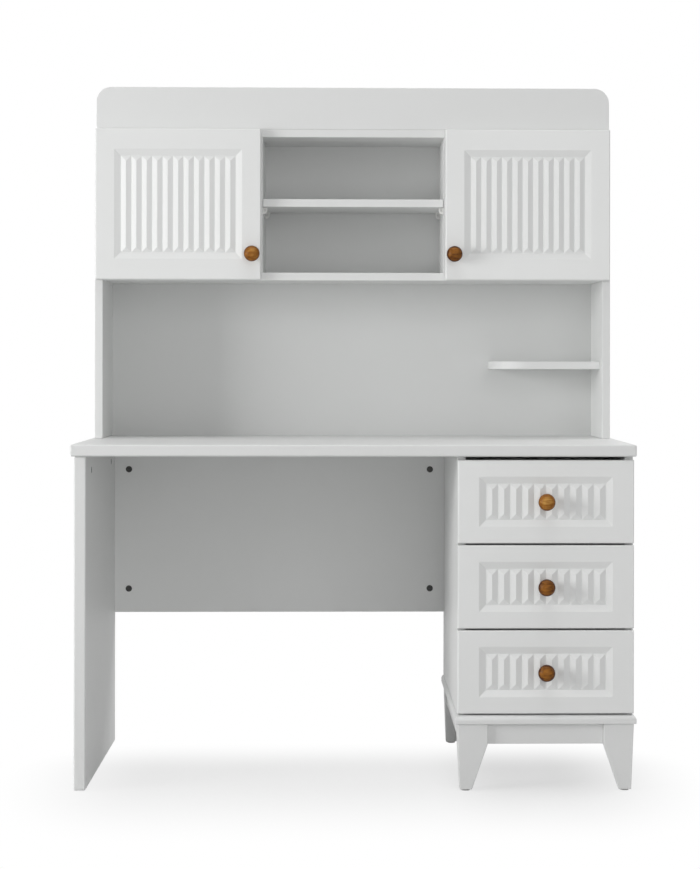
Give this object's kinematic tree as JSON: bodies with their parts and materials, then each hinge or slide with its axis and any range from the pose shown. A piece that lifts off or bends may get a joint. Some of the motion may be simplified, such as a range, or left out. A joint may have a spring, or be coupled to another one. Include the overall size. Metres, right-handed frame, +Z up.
{
  "type": "student desk with hutch",
  "caption": "Student desk with a leg panel, a drawer cabinet on bracket feet, and a hutch with carved doors, open cubbies, a corner shelf and a rounded crown board.",
  "frame": {"origin": "centre of the footprint on the floor, knobs included", "axes": "+Z up, +X to the right of a person sitting at the desk, -Y towards that person"},
  "size_m": [1.2, 0.6274, 1.54],
  "materials": {
    "white_board": "satin white facing on board",
    "white_front": "satin white lacquer over carved fibreboard",
    "white_back": "satin white hardboard",
    "drawer_board": "matt white foil",
    "knob_wood": "gloss varnish on turned wood",
    "zinc_steel": "zinc plated",
    "hinge_steel": "nickel plated",
    "cam_metal": "dark die-cast",
    "support_plastic": "moulded white",
    "glide_plastic": "moulded grey"
  },
  "bodies": {
    "carcass": {"desktop": "white_board", "leg_panel": "white_board", "modesty_panel": "white_board", "cabinet_left_side": "white_board", "cabinet_right_side": "white_board", "cabinet_front_rail": "white_board", "cabinet_rear_rail": "white_board", "base_board": "white_board", "front_left_foot": "white_board", "front_right_foot": "white_board", "rear_left_foot": "white_board", "rear_right_foot": "white_board", "front_apron": "white_board", "side_aprons": "white_board", "hutch_left_side": "white_board", "hutch_right_side": "white_board", "hutch_top": "white_board", "hutch_bottom": "white_board", "left_divider": "white_board", "right_divider": "white_board", "centre_shelf": "white_board", "corner_shelf": "white_board", "crown_board": "white_board", "hutch_back": "white_back", "cabinet_back": "white_back", "cabinet_rails": "zinc_steel", "hinge_arms": "hinge_steel", "cam_locks": "cam_metal", "shelf_supports": "support_plastic", "floor_glides": "glide_plastic"},
    "left_door": {"left_door": "white_front", "left_door_knob": "knob_wood", "left_hinge_cups": "hinge_steel"},
    "right_door": {"right_door": "white_front", "right_door_knob": "knob_wood", "right_hinge_cups": "hinge_steel"},
    "left_links": {"left_hinge_links": "hinge_steel"},
    "right_links": {"right_hinge_links": "hinge_steel"},
    "drawer_1": {"drawer_1_front": "white_front", "drawer_1_knob": "knob_wood", "drawer_1_sides": "drawer_board", "drawer_1_back": "drawer_board", "drawer_1_bottom": "drawer_board", "drawer_1_rails": "zinc_steel"},
    "drawer_1_runners": {"drawer_1_middle_rails": "zinc_steel"},
    "drawer_2": {"drawer_2_front": "white_front", "drawer_2_knob": "knob_wood", "drawer_2_sides": "drawer_board", "drawer_2_back": "drawer_board", "drawer_2_bottom": "drawer_board", "drawer_2_rails": "zinc_steel"},
    "drawer_2_runners": {"drawer_2_middle_rails": "zinc_steel"},
    "drawer_3": {"drawer_3_front": "white_front", "drawer_3_knob": "knob_wood", "drawer_3_sides": "drawer_board", "drawer_3_back": "drawer_board", "drawer_3_bottom": "drawer_board", "drawer_3_rails": "zinc_steel"},
    "drawer_3_runners": {"drawer_3_middle_rails": "zinc_steel"}
  },
  "joints": [
    {"name": "left_link_turn", "type": "hinge", "parent": "carcass", "child": "left_links", "pos_m": [-0.5574, 0.07422, 1.27065], "axis": [0, 0, -1], "range_deg": [-47.55, 0]},
    {"name": "left_door_turn", "type": "hinge", "parent": "left_links", "child": "left_door", "pos_m": [-0.5766, 0.07462, 1.27065], "axis": [0, 0, -1], "range_deg": [0, 142.5]},
    {"name": "right_link_turn", "type": "hinge", "parent": "carcass", "child": "right_links", "pos_m": [0.5574, 0.07422, 1.27065], "axis": [0, 0, 1], "range_deg": [-47.55, 0]},
    {"name": "right_door_turn", "type": "hinge", "parent": "right_links", "child": "right_door", "pos_m": [0.5766, 0.07462, 1.27065], "axis": [0, 0, 1], "range_deg": [0, 142.5]},
    {"name": "drawer_1_slide", "type": "slide", "parent": "carcass", "child": "drawer_1", "axis": [0, -1, 0], "range_m": [0, 0.4]},
    {"name": "drawer_1_runner_slide", "type": "slide", "parent": "carcass", "child": "drawer_1_runners", "axis": [0, -1, 0], "range_m": [0, 0.2]},
    {"name": "drawer_2_slide", "type": "slide", "parent": "carcass", "child": "drawer_2", "axis": [0, -1, 0], "range_m": [0, 0.4]},
    {"name": "drawer_2_runner_slide", "type": "slide", "parent": "carcass", "child": "drawer_2_runners", "axis": [0, -1, 0], "range_m": [0, 0.2]},
    {"name": "drawer_3_slide", "type": "slide", "parent": "carcass", "child": "drawer_3", "axis": [0, -1, 0], "range_m": [0, 0.4]},
    {"name": "drawer_3_runner_slide", "type": "slide", "parent": "carcass", "child": "drawer_3_runners", "axis": [0, -1, 0], "range_m": [0, 0.2]}
  ],
  "couplings": [
    {"joint": "left_link_turn", "follows": "left_door_turn", "ratio": -0.33333},
    {"joint": "right_link_turn", "follows": "right_door_turn", "ratio": -0.33333},
    {"joint": "drawer_1_runner_slide", "follows": "drawer_1_slide", "ratio": 0.5},
    {"joint": "drawer_2_runner_slide", "follows": "drawer_2_slide", "ratio": 0.5},
    {"joint": "drawer_3_runner_slide", "follows": "drawer_3_slide", "ratio": 0.5}
  ]
}
